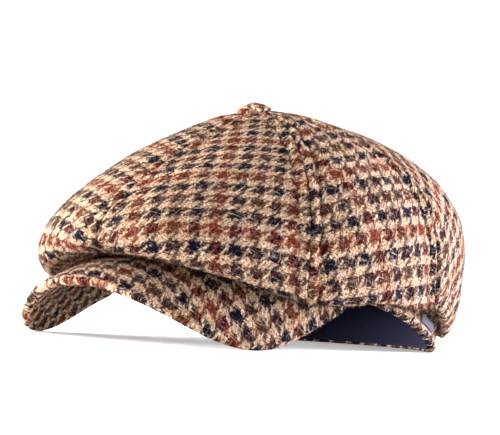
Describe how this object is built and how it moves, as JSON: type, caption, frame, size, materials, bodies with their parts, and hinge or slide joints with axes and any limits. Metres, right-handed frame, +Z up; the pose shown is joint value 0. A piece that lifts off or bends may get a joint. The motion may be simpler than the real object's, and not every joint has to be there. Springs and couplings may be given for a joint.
{
  "type": "newsboy cap",
  "caption": "Panelled newsboy cap in brown and navy check tweed: full soft crown over a band, curved stiff peak, covered button and a small plain metal tab.",
  "frame": {"origin": "middle of the cap's outline seen from above, at the height of the surface it stands on", "axes": "+Z up from the surface, -Y towards the peak, +X towards the wearer's left"},
  "size_m": [0.2164, 0.2714, 0.1333],
  "materials": {
    "tweed": "fuzzy woollen twill in a check of navy, rust, dark brown and beige",
    "navy_cloth": "matt navy cotton tape",
    "dark_metal": "dark grey metal, plain satin"
  },
  "bodies": {
    "root": {"panel_front_left": "tweed", "panel_side_left": "tweed", "panel_back_left": "tweed", "panel_back_right": "tweed", "panel_side_right": "tweed", "panel_front_right": "tweed", "band": "tweed", "peak": "tweed", "button": "tweed", "sweatband": "navy_cloth", "tab": "dark_metal"}
  },
  "joints": []
}
